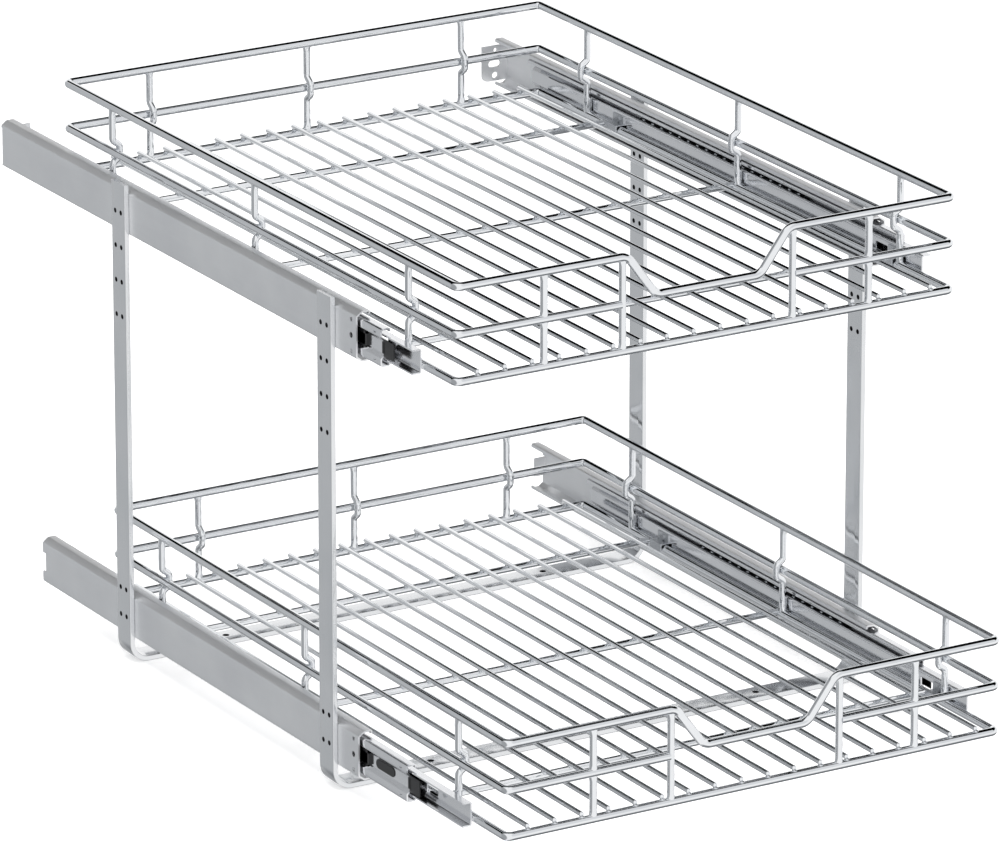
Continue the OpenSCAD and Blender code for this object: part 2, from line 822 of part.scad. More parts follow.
strap(-strap_pitch / 2);  // front_strap
strap(strap_pitch / 2);  // rear_strap
screws(LOWER);  // lower_screws
screws(UPPER);  // upper_screws
for (t = TIERS) {
    tier = TIER_NAME[t];
    top_rim(t);
    middle_rim(t);
    bottom_rim(t);
    cross_wires(t);
    floor_wires(t);
    front_posts(t);
    side_posts(t);
    back_posts(t);
    rim_clips(t);
    clip_rivets(t);
}
for (t = TIERS, side = SIDES) {
    outer_rail(t, side);
    middle_rail(t, side);
    drawer_rail(t, side);
    slide_plastics(t, side);
    outer_cage(t, side);
    outer_balls(t, side);
    inner_cage(t, side);
    inner_balls(t, side);
}
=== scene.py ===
"""Two-tier pull-out wire basket on ball-bearing slides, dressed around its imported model.

Lengths are in metres and each piece is made in place: X to the right, Y to the back, Z up, with the
cabinet floor at zero. Every section below is one piece of the object, or one group of like pieces.
"""

import math

import bpy
import numpy as np
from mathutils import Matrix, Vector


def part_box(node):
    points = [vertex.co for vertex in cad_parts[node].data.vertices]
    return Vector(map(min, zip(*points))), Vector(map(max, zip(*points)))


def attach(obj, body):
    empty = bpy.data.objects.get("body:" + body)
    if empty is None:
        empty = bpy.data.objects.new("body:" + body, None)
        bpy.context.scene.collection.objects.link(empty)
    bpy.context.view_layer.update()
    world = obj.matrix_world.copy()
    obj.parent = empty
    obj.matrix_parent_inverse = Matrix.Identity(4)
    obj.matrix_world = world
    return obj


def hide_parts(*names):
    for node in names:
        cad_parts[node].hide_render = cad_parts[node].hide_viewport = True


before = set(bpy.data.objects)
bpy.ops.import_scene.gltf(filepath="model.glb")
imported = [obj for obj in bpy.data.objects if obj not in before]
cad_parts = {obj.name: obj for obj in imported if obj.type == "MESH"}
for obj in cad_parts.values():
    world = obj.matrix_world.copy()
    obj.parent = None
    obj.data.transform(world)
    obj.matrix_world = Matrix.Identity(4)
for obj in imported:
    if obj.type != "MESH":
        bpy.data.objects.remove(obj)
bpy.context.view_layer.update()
scene = bpy.context.scene

# ---- camera ----
# A long lens a little above the object and to its left, as in the photograph.

CAMERA_AT = (-2.947, -4.989, 2.158)
CAMERA_TURN = 30.65                    # degrees from straight back towards the right
CAMERA_DIP = 18.8245                   # degrees below the horizon
CAMERA_LENS = 318.7                    # millimetres
SENSOR_WIDTH = 36                      # millimetres

lens = bpy.data.cameras.new("camera")
lens.lens = CAMERA_LENS
lens.sensor_width = SENSOR_WIDTH
lens.sensor_fit = "HORIZONTAL"
lens.clip_end = 100
camera = bpy.data.objects.new("camera", lens)
camera.location = CAMERA_AT
camera.rotation_euler = (math.radians(90 - CAMERA_DIP), 0, math.radians(-CAMERA_TURN))
scene.collection.objects.link(camera)
scene.camera = camera

# ---- studio ----
# A white sweep under a broad soft box. Dark flags and grey walls stand round it, because polished
# metal shows nothing but what it mirrors.

MM = 0.001
WALLS = [                              # grey, and its cones (turn, rise, half width, soft edge)
    ("#a6a8aa", (-68, -8, 58, 14)),
    ("#bcbec0", (-33, -2, 26, 20)),
    ("#85878a", (-31, -50, 20, 18)),
    ("#a0a2a4", (4, -42, 15, 14)),
    ("#6f7275", (90, -61, 34, 16)),
    ("#e6e7e9", (145, 32, 26, 20)),
    ("#060708", (0, 90, 62.2, 2), (40, 0, 86, 6)),
]
WALL_STRENGTH = 1.05
SOFT_BOX_AT = (-0.2, -0.4, 2.6)
SOFT_BOX_SIZE = 2.4
SOFT_BOX_POWER = 60                    # watts
FLOOR_REACH = 14
FLOOR_DROP = 0.2 * MM                  # keeps the floor clear of the straps' undersides
FLOOR_GLOW = 0.45                      # makes the sweep as white as the photograph's

scene.view_settings.view_transform = "Standard"


def hex_colour(code):
    """sRGB hex to linear: c / 12.92 when dark, else ((c + 0.055) / 1.055) ** 2.4."""
    values = [int(code[i : i + 2], 16) / 255 for i in (1, 3, 5)]
    linear = [v / 12.92 if v <= 0.04045 else ((v + 0.055) / 1.055) ** 2.4 for v in values]
    return (*linear, 1)


def add(tree, kind, inputs=None, **settings):
    """Adds a node. Settings are its properties; inputs give each socket a value or a link."""
    made = tree.nodes.new(kind)
    for name, value in settings.items():
        setattr(made, name, value)
    for name, value in (inputs or {}).items():
        if isinstance(value, bpy.types.NodeSocket):
            tree.links.new(value, made.inputs[name])
        else:
            made.inputs[name].default_value = value
    return made


def principled(name, constants):
    """A new material, its node tree and its shader, with the constants set on its sockets."""
    made = bpy.data.materials.new(name)
    made.use_nodes = True
    shader = made.node_tree.nodes["Principled BSDF"]
    for socket, value in constants.items():
        shader.inputs[socket].default_value = value
    return made, made.node_tree, shader


def aim(turn, rise):
    """Unit vector at an angle from straight back towards the right, and above the horizon.

    It is (cos rise sin turn, cos rise cos turn, sin rise).
    """
    turn, rise = math.radians(turn), math.radians(rise)
    return (math.cos(rise) * math.sin(turn), math.cos(rise) * math.cos(turn), math.sin(rise))


world = bpy.data.worlds.new("studio")
world.use_nodes = True
scene.world = world
tree = world.node_tree
tree.nodes.clear()
heading = add(tree, "ShaderNodeTexCoord").outputs["Generated"]
room = hex_colour("#ffffff")
for grey, *cones in WALLS:
    share = 1.0
    for turn, rise, half, soft in cones:
        facing = add(
            tree,
            "ShaderNodeVectorMath",
            {0: heading, 1: aim(turn, rise)},
            operation="DOT_PRODUCT",
        )
        edge = add(
            tree,
            "ShaderNodeMapRange",
            {
                "Value": facing.outputs["Value"],
                "From Min": math.cos(math.radians(half + soft / 2)),
                "From Max": math.cos(math.radians(half - soft / 2)),
            },
            interpolation_type="SMOOTHSTEP",
        )
        both = {0: edge.outputs["Result"], 1: share}
        share = add(tree, "ShaderNodeMath", both, operation="MULTIPLY").outputs[0]
    # A mix node's colours are its inputs 6 and 7, and its output 2
    colours = {"Factor": share, 6: room, 7: hex_colour(grey)}
    room = add(tree, "ShaderNodeMix", colours, data_type="RGBA").outputs[2]
walls = add(tree, "ShaderNodeBackground", {"Color": room, "Strength": WALL_STRENGTH})
sweep = add(tree, "ShaderNodeBackground", {"Color": hex_colour("#ffffff"), "Strength": 1.0})
seen = add(tree, "ShaderNodeLightPath").outputs["Is Camera Ray"]
either = add(tree, "ShaderNodeMixShader", {0: seen, 1: walls.outputs[0], 2: sweep.outputs[0]})
add(tree, "ShaderNodeOutputWorld", {"Surface": either.outputs[0]})

soft_box = bpy.data.lights.new("soft_box", "AREA")
soft_box.shape = "RECTANGLE"
soft_box.size = soft_box.size_y = SOFT_BOX_SIZE
soft_box.energy = SOFT_BOX_POWER
lamp = bpy.data.objects.new("soft_box", soft_box)
lamp.location = SOFT_BOX_AT
lamp.visible_glossy = False
scene.collection.objects.link(lamp)

# Matt white paper: gives back light evenly from every side, and mirrors nothing
paper, _, _ = principled(
    "matt_white_paper",
    {
        "Base Color": hex_colour("#fdfdfd"),
        "Roughness": 0.9,
        "Specular IOR Level": 0,
        "Emission Color": hex_colour("#ffffff"),
        "Emission Strength": FLOOR_GLOW,
    },
)
floor_mesh = bpy.data.meshes.new("floor")
square = ((-1, -1), (1, -1), (1, 1), (-1, 1))
floor_corners = [(x * FLOOR_REACH, y * FLOOR_REACH, 0) for x, y in square]
floor_mesh.from_pydata(floor_corners, [], [(0, 1, 2, 3)])
floor_mesh.materials.append(paper)
floor = bpy.data.objects.new("floor", floor_mesh)
floor.location.z = -FLOOR_DROP
floor.visible_glossy = False
scene.collection.objects.link(floor)

# ---- mounting straps ----
# Two flat steel bars bent to a U, polished and chrome plated. Pairs of tapped holes in the legs
# take the slides' screws, and two holes in the floor run take the cabinet floor screws.

TIERS = ("lower", "upper")
SIDES = {"left": -1, "right": 1}
STRAP_T = 3.7 * MM
STRAP_BEND = 15 * MM                   # outer radius of the floor bends
STRAP_EDGE = 0.45 * MM                 # the rolled bar's soft edge
TAPPED_D = 3.3 * MM
TAPPED_PITCH = 8 * MM
SPARE_LOW_STEP = 20 * MM               # spare row above the lower slide
SPARE_ROW_STEP = 25 * MM
SPARE_ROWS = 3
FLOOR_HOLE_D = 4.5 * MM
FLOOR_HOLE_SPAN = 260 * MM
HOLE_LEAD = 0.15 * MM                  # chamfer at each mouth of a hole
STRAIGHT = 1e-4                        # radians of turn that need no arc
SHEET_SHARP = 35                       # degrees past which an edge of sheet or bar stays sharp


def unit(v):
    """Vectors scaled to length one."""
    return v / np.linalg.norm(v, axis=-1, keepdims=True)


def rounded(corners, radii, step):
    """Points of a line through corners, corner i turned with radius radii[i].

    An arc is start + r (sin t into + (1 - cos t) side), with a point every step degrees or so.
    """
    corners = np.asarray(corners, float)
    runs = [corners[:1]]
    for before, corner, after, radius in zip(corners, corners[1:], corners[2:], radii[1:-1]):
        into, out = unit(corner - before), unit(after - corner)
        turn = math.acos(np.clip(into @ out, -1, 1))
        if radius == 0 or turn < STRAIGHT:
            runs.append(corner[None])
            continue
        side = unit(out - into * (into @ out))
        start = corner - into * radius * math.tan(turn / 2)
        t = np.linspace(0, turn, math.ceil(math.degrees(turn) / step) + 1)[:, None]
        runs.append(start + radius * (np.sin(t) * into + (1 - np.cos(t)) * side))
    runs.append(corners[-1:])
    return np.concatenate(runs)


def ring_quads(rows, columns):
    """Quads (row i, column j) to (row i + 1, column j + 1) between rings of points."""
    i, j = np.meshgrid(np.arange(rows - 1), np.arange(columns), indexing="ij")
    k = (j + 1) % columns
    quads = [i * columns + j, i * columns + k, (i + 1) * columns + k, (i + 1) * columns + j]
    return np.stack(quads, -1).reshape(-1, 4).tolist()


def tube_faces(rows, columns):
    """The quads between rings of points, and a cap on the first ring and on the last."""
    caps = [list(range(columns))[::-1], list(range((rows - 1) * columns, rows * columns))]
    return ring_quads(rows, columns) + caps


def swept(path, ring, up):
    """A closed section carried along a path, and capped at its two ends.

    Point = path + a side + b top, for each (a, b) in ring. Side is the tangent crossed with up, and
    top is side crossed with the tangent. Ring is one section for the whole path, or one for each
    of its points.
    """
    path = np.asarray(path, float)
    ring = np.broadcast_to(ring, (len(path), *np.shape(ring)[-2:]))
    along = unit(np.diff(path, axis=0))
    tangent = unit(np.concatenate([along[:1], unit(along[1:] + along[:-1]), along[-1:]]))
    side = unit(np.cross(tangent, up))
    top = np.cross(side, tangent)
    points = path[:, None] + ring[..., :1] * side[:, None] + ring[..., 1:] * top[:, None]
    return points.reshape(-1, 3), tube_faces(*points.shape[:2])


def turned_solid(profile, at, axis, sides=24):
    """A profile of (distance, radius) turned about the axis through at.

    Point = at + distance axis + radius (cos t across + sin t other).
    """
    profile, axis = np.asarray(profile, float), unit(np.asarray(axis, float))
    across = unit(np.cross(axis, (0.31, 0.17, 0.93)))
    other = np.cross(axis, across)
    t = np.linspace(0, 2 * math.pi, sides, endpoint=False)
    circle = np.cos(t)[:, None] * across + np.sin(t)[:, None] * other
    points = np.asarray(at, float) + profile[:, None, :1] * axis + profile[:, None, 1:] * circle
    return points.reshape(-1, 3), tube_faces(len(profile), sides)


def rectangle(width, height, radius, steps=4):
    """A rectangle's outline with round corners: each corner is a quarter circle."""
    t = np.linspace(0, math.pi / 2, steps + 1)
    quarter = np.stack([np.cos(t), np.sin(t)], -1) * radius
    arcs = []
    for k, (sx, sy) in enumerate([(1, 1), (-1, 1), (-1, -1), (1, -1)]):
        c, s = math.cos(k * math.pi / 2), math.sin(k * math.pi / 2)
        centre = np.array([sx * (width / 2 - radius), sy * (height / 2 - radius)])
        arcs.append(quarter @ np.array([[c, s], [-s, c]]) + centre)
    return np.concatenate(arcs)


def outward(points, faces):
    """Turns a closed shape's faces over if it encloses a volume below zero.

    That volume is the sum of a . (b x c) over the triangles of each face's fan.
    """
    fans = [(face[0], face[k], face[k + 1]) for face in faces for k in range(1, len(face) - 1)]
    a, b, c = points[np.array(fans)].transpose(1, 0, 2)
    inside_out = np.einsum("ij,ij->", a, np.cross(b, c)) < 0
    return points, [face[::-1] for face in faces] if inside_out else faces


def joined(parts):
    """Several closed shapes as one, each with its faces outwards."""
    points, faces, start = [], [], 0
    for part in parts:
        part_points, part_faces = outward(*part)
        points.append(part_points)
        faces += [[start + k for k in face] for face in part_faces]
        start += len(part_points)
    return np.concatenate(points), faces


def smooth(mesh, sharp):
    """Shades a mesh smooth, apart from edges that turn by more than sharp degrees."""
    mesh.polygons.foreach_set("use_smooth", np.ones(len(mesh.polygons), bool))
    mesh.set_sharp_from_angle(angle=math.radians(sharp))


def mesh_object(name, shape, sharp=SHEET_SHARP):
    """A Blender object from (points, faces), with its faces outwards."""
    points, faces = outward(*shape)
    mesh = bpy.data.meshes.new(name)
    mesh.from_pydata(points.tolist(), [], faces)
    mesh.validate()
    obj = bpy.data.objects.new(name, mesh)
    scene.collection.objects.link(obj)
    smooth(mesh, sharp)
    return obj


def drilled(obj, cutters, lining=None):
    """Takes the cutters' shape out of a piece. Lining is the material left in the holes."""
    tool = mesh_object("cutter", joined(cutters))
    change = obj.modifiers.new("holes", "BOOLEAN")
    change.operation = "DIFFERENCE"
    change.solver = "EXACT"
    change.object = tool
    if lining:
        tool.data.materials.append(lining)
        change.material_mode = "TRANSFER"
    finished = obj.evaluated_get(bpy.context.evaluated_depsgraph_get())
    whole, obj.data = obj.data, bpy.data.meshes.new_from_object(finished)
    obj.modifiers.clear()
    bpy.data.meshes.remove(whole)
    bpy.data.objects.remove(tool)
    smooth(obj.data, SHEET_SHARP)


def drill_profile(diameter):
    """(Distance from the bar's middle, radius) of a drill that chamfers both mouths of its hole."""
    half, r = STRAP_T / 2, diameter / 2
    return [
        (-half - HOLE_LEAD, r + 2 * HOLE_LEAD),
        (-half + HOLE_LEAD, r),
        (half - HOLE_LEAD, r),
        (half + HOLE_LEAD, r + 2 * HOLE_LEAD),
    ]


NOISE_SPAN = (0.3, 0.7)                # where nearly all of a noise texture's values lie
CLOUD = 45 * MM                        # width of the plating's soft clouds
RELIEF_HEIGHT = 0.05 * MM


def metal(name, light, dark, gloss, grain, stretch=(1, 1, 1), relief=0.02):
    """A plated or polished steel: two close shades in soft clouds, and a fine grain in its gloss.

    Gloss is its roughness at the grain's two ends, and grain is the grain's width in millimetres,
    divided by stretch along each axis.
    """
    made, nodes, shader = principled(name, {"Metallic": 1.0})
    place = add(nodes, "ShaderNodeTexCoord").outputs["Object"]
    cloud = add(nodes, "ShaderNodeTexNoise", {"Vector": place, "Scale": 1 / CLOUD, "Detail": 3.0})
    stretched = add(nodes, "ShaderNodeMapping", {"Vector": place, "Scale": stretch})
    fine = add(
        nodes,
        "ShaderNodeTexNoise",
        {"Vector": stretched.outputs["Vector"], "Scale": 1 / (grain * MM), "Detail": 4.0},
    )
    shade = add(nodes, "ShaderNodeValToRGB", {"Fac": cloud.outputs["Fac"]})
    for k, colour in enumerate((dark, light)):
        shade.color_ramp.elements[k].position = NOISE_SPAN[k]
        shade.color_ramp.elements[k].color = hex_colour(colour)
    rough = add(
        nodes,
        "ShaderNodeMapRange",
        {
            "Value": fine.outputs["Fac"],
            "From Min": NOISE_SPAN[0],
            "From Max": NOISE_SPAN[1],
            "To Min": gloss[0],
            "To Max": gloss[1],
        },
    )
    bump = add(
        nodes,
        "ShaderNodeBump",
        {"Height": fine.outputs["Fac"], "Strength": relief, "Distance": RELIEF_HEIGHT},
    )
    nodes.links.new(shade.outputs["Color"], shader.inputs["Base Color"])
    nodes.links.new(rough.outputs["Result"], shader.inputs["Roughness"])
    nodes.links.new(bump.outputs["Normal"], shader.inputs["Normal"])
    return made


def dress(obj, material, body, node):
    """Gives a piece its material unless it has one, and its body, and hides the CAD node it stands
    for.
    """
    if not obj.data.materials:
        obj.data.materials.append(material)
    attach(obj, body)
    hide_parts(node)


# Polished and plated flat bar: mirrors its surroundings with soft edges, along upright polish lines
strap_chrome = metal(
    "polished_chromed_bar",
    "#e4e5e7",
    "#dcdee0",
    gloss=(0.12, 0.18),
    grain=1.2,
    stretch=(1, 1, 0.05),
)
# Painted shade: near-black steel on the tapped holes' walls, standing in for the shade inside the
# holes
painted_hole_shade = metal("painted_shade_hole_walls", "#3c3d40", "#242527", gloss=(0.45, 0.6), grain=0.3)
slide_z = {
    tier: sum(corner.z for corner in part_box(f"{tier}_left_outer_rail")) / 2 for tier in TIERS
}
tapped_rows = [
    slide_z["lower"],
    slide_z["lower"] + SPARE_LOW_STEP,
    slide_z["upper"],
    *(slide_z["upper"] - k * SPARE_ROW_STEP for k in range(1, SPARE_ROWS + 1)),
]
for end in ("front", "rear"):
    low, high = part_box(f"{end}_strap")
    half_t = STRAP_T / 2
    leg_x = (high.x - low.x - STRAP_T) / 2
    strap_y = (low.y + high.y) / 2
    corners = [
        (-leg_x, strap_y, high.z),
        (-leg_x, strap_y, half_t),
        (leg_x, strap_y, half_t),
        (leg_x, strap_y, high.z),
    ]
    line = rounded(corners, [0, STRAP_BEND - half_t, STRAP_BEND - half_t, 0], step=4)
    section = rectangle(STRAP_T, high.y - low.y, STRAP_EDGE)
    bar = mesh_object(f"{end}_strap_bar", swept(line, section, (0, -1, 0)))
    bar.data.materials.append(strap_chrome)
    cutters = [
        turned_solid(
            drill_profile(TAPPED_D), (sign * leg_x, strap_y + row * TAPPED_PITCH / 2, z), (1, 0, 0)
        )
        for sign in SIDES.values()
        for row in (-1, 1)
        for z in tapped_rows
    ]
    cutters += [
        turned_solid(
            drill_profile(FLOOR_HOLE_D), (sign * FLOOR_HOLE_SPAN / 2, strap_y, half_t), (0, 0, 1)
        )
        for sign in SIDES.values()
    ]
    # The holes' walls take the painted shade, a near-black lining
    drilled(bar, cutters, lining=painted_hole_shade)
    dress(bar, strap_chrome, "frame", f"{end}_strap")

# ---- outer slide members ----
# Cold-rolled steel channels with bevelled edges and hooked lips, zinc plated to a satin finish. At
# the back end the web is bent inwards between the bevels, to a drilled tab on the upper pair and to
# a short one on the lower pair.

RAIL_T = 1.2 * MM
OUTER_SECTION = [(0, 14.4), (4.4, 17.6), (10.9, 17.6), (10.9, 15.0)]
OUTER_BENDS = [1.6, 2.0, 1.3, 0]
FRONT_HOLE_INSET = 6.5 * MM
FRONT_HOLE_D = 4 * MM
FRONT_SQUARE = 2.8 * MM
FRONT_SQUARE_V = 11 * MM
TAB = {                                # in front of the end, reach inwards, lower and upper edge
    "lower": (3 * MM, 10.5 * MM, -7 * MM, 7 * MM),
    "upper": (0, 22.5 * MM, -14 * MM, 12.8 * MM),
}
TAB_ROOT = 2 * MM                      # the tab's own sheet starts this far in front of its back
TAB_CUT = 1.8 * MM                     # the web beside it is cut away from here
TAB_BEND = 1.2 * MM
TAB_EDGE = 0.1 * MM
TAB_CORNER_R = 5 * MM
TAB_SLOT = (10 * MM, 5 * MM)
TAB_SLOT_UV = (12.2 * MM, -1 * MM)
TAB_HOLES = [(4.8 * MM, 11.7 * MM, -9.7 * MM), (3 * MM, 11.4 * MM, 9.3 * MM)]
CLEAR = 1 * MM                         # how far a cutter reaches past what it cuts
SQUARE_EDGE = 0.001 * MM

# Distances of a slide are (u, v): u inwards from its outer face, and v upwards from its middle
web_x = {
    side: abs(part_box(f"upper_{side}_outer_rail")[0 if sign < 0 else 1].x)
    for side, sign in SIDES.items()
}


def sheet_section(half, bends, thickness):
    """Both faces of a bent sheet in (u, v) millimetres, from its lower edge to its upper edge.

    Half is the upper half of the face that turns outwards, with a bend radius for each corner, and
    is mirrored for the lower half. The other face is that line moved inwards by the thickness,
    along the mitre at each point.
    """
    line = [(u, -v) for u, v in reversed(half)] + half
    face = rounded(line, bends[::-1] + bends, step=15)
    along = unit(np.diff(face, axis=0))
    normal = np.stack([along[:, 1], -along[:, 0]], -1)
    before, after = np.concatenate([normal[:1], normal]), np.concatenate([normal, normal[-1:]])
    mitre = (before + after) / (1 + (before * after).sum(-1, keepdims=True))
    return face, face + mitre * thickness / MM


def sheet_rail(face, back, front_y, back_y, side, z):
    """A channel: both faces of its sheet drawn out along Y, closed at its edges and ends.

    Its ring runs up one face and down the other, so each end is a strip of quads between point k
    and the one as far from the ring's last point.
    """
    count = len(face)
    ring = np.concatenate([face, back[::-1]]) * MM
    x = SIDES[side] * (web_x[side] - ring[:, 0])
    y = np.array([front_y, back_y])[:, None]
    points = np.stack(np.broadcast_arrays(x, y, z + ring[:, 1]), -1)
    k = np.arange(count - 1)
    strip = np.stack([k, 2 * count - 1 - k, 2 * count - 2 - k, k + 1], -1)
    ends = np.concatenate([strip, (strip + 2 * count)[:, ::-1]])
    return points.reshape(-1, 3), ring_quads(2, 2 * count) + ends.tolist()


def block(low, high, edge, side, z):
    """A box from low to high in (u, y, v), set against a slide. Its edges along Y are rounded."""
    (u0, y0, v0), (u1, y1, v1) = low, high
    ring = rectangle(u1 - u0, v1 - v0, max(edge, SQUARE_EDGE), 3 if edge else 1)
    centre_x = SIDES[side] * (web_x[side] - (u0 + u1) / 2)
    path = [(centre_x, y, z + (v0 + v1) / 2) for y in (y0, y1)]
    return swept(path, ring, (0, 0, 1))


def bent_tab(root, tip, bend, section, step, side, z):
    """A sheet's end bent across: from root along Y, turned with a radius, and straight to tip.

    Root and tip are (u, y). Up leans off the tab's own way, so that its cross product with the
    tangent never vanishes.
    """
    sign = SIDES[side]
    line = [(sign * (web_x[side] - u), y, z) for u, y in (root, (root[0], tip[1]), tip)]
    lean = math.copysign(0.01, tip[1] - root[1])
    return swept(rounded(line, [0, bend, 0], step), section, (sign, lean, 0))


def circle(radius, sides=20):
    """A circle's points, cosine and sine of even turns times the radius."""
    t = np.linspace(0, 2 * math.pi, sides, endpoint=False)
    return np.stack([np.cos(t), np.sin(t)], -1) * radius


def slot_outline(length, width, steps=8):
    """A slot's outline: two half circles of its width, joined by straight runs."""
    t = np.linspace(-math.pi / 2, math.pi / 2, steps + 1)
    end = np.stack([np.cos(t), np.sin(t)], -1) * width / 2 + [(length - width) / 2, 0]
    return np.concatenate([end, -end])


def corner_outline(radius):
    """What a round corner leaves over, past the quarter circle r (1 - sin t, 1 - cos t)."""
    t = np.linspace(0, math.pi / 2, 9)
    arc = radius * (1 - np.stack([np.sin(t), np.cos(t)], -1))
    return np.concatenate([[(-CLEAR, -CLEAR), (radius, -CLEAR)], arc, [(-CLEAR, radius)]])


def through_tab(outline, u, v, side, z, tab_y):
    """An outline of (along X, along Z) points about (u, v), drawn along Y through a rear tab."""
    x = SIDES[side] * (web_x[side] - u)
    return swept([(x, y, z + v) for y in (tab_y - 2 * RAIL_T, tab_y + RAIL_T)], outline, (0, 0, 1))


# Zinc plate over rolled steel: satin, with rolling lines along the rail
satin_zinc = metal(
    "satin_zinc_plated_channel",
    "#f6f7f8",
    "#eeeff1",
    gloss=(0.4, 0.5),
    grain=0.9,
    stretch=(1, 0.04, 1),
)
outer_face, outer_back = sheet_section(OUTER_SECTION, OUTER_BENDS, RAIL_T)
for tier in TIERS:
    z = slide_z[tier]
    inset, reach, v0, v1 = TAB[tier]
    for side, sign in SIDES.items():
        node_name = f"{tier}_{side}_outer_rail"
        low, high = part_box(node_name)
        hole_y = low.y + FRONT_HOLE_INSET
        tab_y = high.y - inset
        profile = sheet_rail(outer_face, outer_back, low.y, high.y, side, z)
        channel = mesh_object(f"{tier}_{side}_outer_member", profile)
        through = [(-RAIL_T, FRONT_HOLE_D / 2), (RAIL_T, FRONT_HOLE_D / 2)]
        cutters = [turned_solid(through, (sign * (web_x[side] - RAIL_T / 2), hole_y, z), (1, 0, 0))]
        h = FRONT_SQUARE / 2
        for v in (-FRONT_SQUARE_V, FRONT_SQUARE_V):
            near, far = (-RAIL_T, hole_y - h, v - h), (2 * RAIL_T, hole_y + h, v + h)
            cutters.append(block(near, far, 0, side, z))
        near, far = (-RAIL_T, tab_y - TAB_CUT, v0), (1.1 * RAIL_T, high.y + CLEAR, v1)
        cutters.append(block(near, far, 0, side, z))
        drilled(channel, cutters)

        root, tip = (RAIL_T / 2, tab_y - TAB_ROOT), (reach, tab_y - RAIL_T / 2)
        section = rectangle(v1 - v0, RAIL_T, TAB_EDGE, 2)
        shape = bent_tab(root, tip, TAB_BEND, section, 10, side, z + (v0 + v1) / 2)
        tab = mesh_object(f"{tier}_{side}_rear_tab", shape)
        if tier == "upper":
            corner = (corner_outline(TAB_CORNER_R) * (sign, 1))[::sign]
            cutters = [
                through_tab(corner, reach, v0, side, z, tab_y),
                through_tab(slot_outline(*TAB_SLOT), *TAB_SLOT_UV, side, z, tab_y),
            ]
            for hole_d, u, v in TAB_HOLES:
                cutters.append(through_tab(circle(hole_d / 2), u, v, side, z, tab_y))
            drilled(tab, cutters)
        for piece in (channel, tab):
            dress(piece, satin_zinc, "frame", node_name)

# ---- basket rims ----
# Six millimetre steel wire, bent and butt welded to loops, then chrome plated with the whole
# basket. The top rim dips at the front for a hand, and the middle rim ends at the two inner front
# posts.

RIM_D = 6 * MM
RIM_CORNER = 4 * MM
DIP_TOP_W = 125.2 * MM
DIP_SLOPE = 3 / 4                      # the dip's sides run 3 across while they fall 4
DIP_RADIUS = 10 * MM
INNER_POST_X = 66 * MM
MIDDLE_END = 1.3 * MM                  # the middle rim starts this far beside the inner post's axis
WIRE_SHARP = 60                        # degrees past which an edge of a wire stays sharp


def rim_lines(node_name):
    """Left and right X, and front and back Y, of a rim's centre line, from its node's box."""
    low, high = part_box(node_name)
    return low.x + RIM_D / 2, high.x - RIM_D / 2, low.y + RIM_D / 2, high.y - RIM_D / 2


# Bright chrome on drawn wire: an almost perfect mirror, with a faint unevenness from drawing
wire_chrome = metal(
    "bright_chromed_wire", "#e9ebed", "#e2e4e7", gloss=(0.035, 0.07), grain=1.5, relief=0.01
)
for tier in TIERS:
    for level in ("bottom", "middle", "top"):
        node_name = f"{tier}_{level}_rim"
        left, right, front, back = rim_lines(node_name)
        low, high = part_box(node_name)
        z = high.z - RIM_D / 2
        corners = [(left, front, z), (left, back, z), (right, back, z), (right, front, z)]
        if level == "bottom":
            ends = [(0, front, z)]
        elif level == "middle":
            ends = [(INNER_POST_X + MIDDLE_END, front, z)]
        else:
            dip_z = low.z + RIM_D / 2
            half_top = DIP_TOP_W / 2
            half_floor = half_top - DIP_SLOPE * (z - dip_z)
            ends = [(half_top, front, z), (half_floor, front, dip_z), (0, front, dip_z)]
        line = [(-x, y, w) for x, y, w in reversed(ends)] + corners + ends
        dip = [DIP_RADIUS] * (len(ends) - 1)
        bends = [0, *dip, *[RIM_CORNER] * len(corners), *dip, 0]
        shape = swept(rounded(line, bends, step=5), circle(RIM_D / 2, 24), (0, 0, 1))
        wire = mesh_object(f"{node_name}_wire", shape, WIRE_SHARP)
        dress(wire, wire_chrome, f"{tier}_drawer", node_name)

# ---- floor wires and cross wires ----
# Straight drawn wires: eighteen thin ones from front to back, resistance welded on the rims and on
# three thicker cross wires below them. Each weld leaves a small bead.

CROSS_D = 5 * MM
FLOOR_D = 3.5 * MM
FLOOR_COUNT = 18
CROSS_FROM_FRONT = (84 * MM, 272 * MM)
CROSS_FROM_BACK = 92 * MM
BEAD_SIZE = (1.9 * MM, 1.9 * MM, 0.8 * MM)
BEAD_RISE = 0.2 * MM                   # a bead's centre, above the floor wire's underside
FLOOR_DOME = 0.35                      # length of a wire's domed end, in radii
CROSS_DOME = 0.1
DOME_RADII = (0.72, 0.92, 1)           # radii from a domed end's tip to its full width
POLE = 0.05                            # radians left open round a bead's axis, under its cap


def beads(centres, size, rings=5, sides=8):
    """Small ellipsoids: centre + size times (sin a cos b, sin a sin b, cos a), all at once."""
    a = np.linspace(POLE, math.pi - POLE, rings)[:, None]
    b = np.linspace(0, 2 * math.pi, sides, endpoint=False)[None]
    ball = np.stack([np.sin(a) * np.cos(b), np.sin(a) * np.sin(b), np.cos(a) * np.ones_like(b)], -1)
    one = tube_faces(rings, sides)
    return [((ball * size).reshape(-1, 3) + centre, one) for centre in np.asarray(centres, float)]


def rod(a, b, radius, sides, dome):
    """A straight wire from a to b with slightly domed ends, as sheared and tumbled wire has."""
    a, b = np.asarray(a, float), np.asarray(b, float)
    lead = unit(b - a) * radius * dome
    path = [a, a + lead * 0.4, a + lead, b - lead, b - lead * 0.4, b]
    scale = np.array([*DOME_RADII, *DOME_RADII[::-1]])[:, None, None]
    return swept(path, circle(radius, sides) * scale, (0, 0, 1))


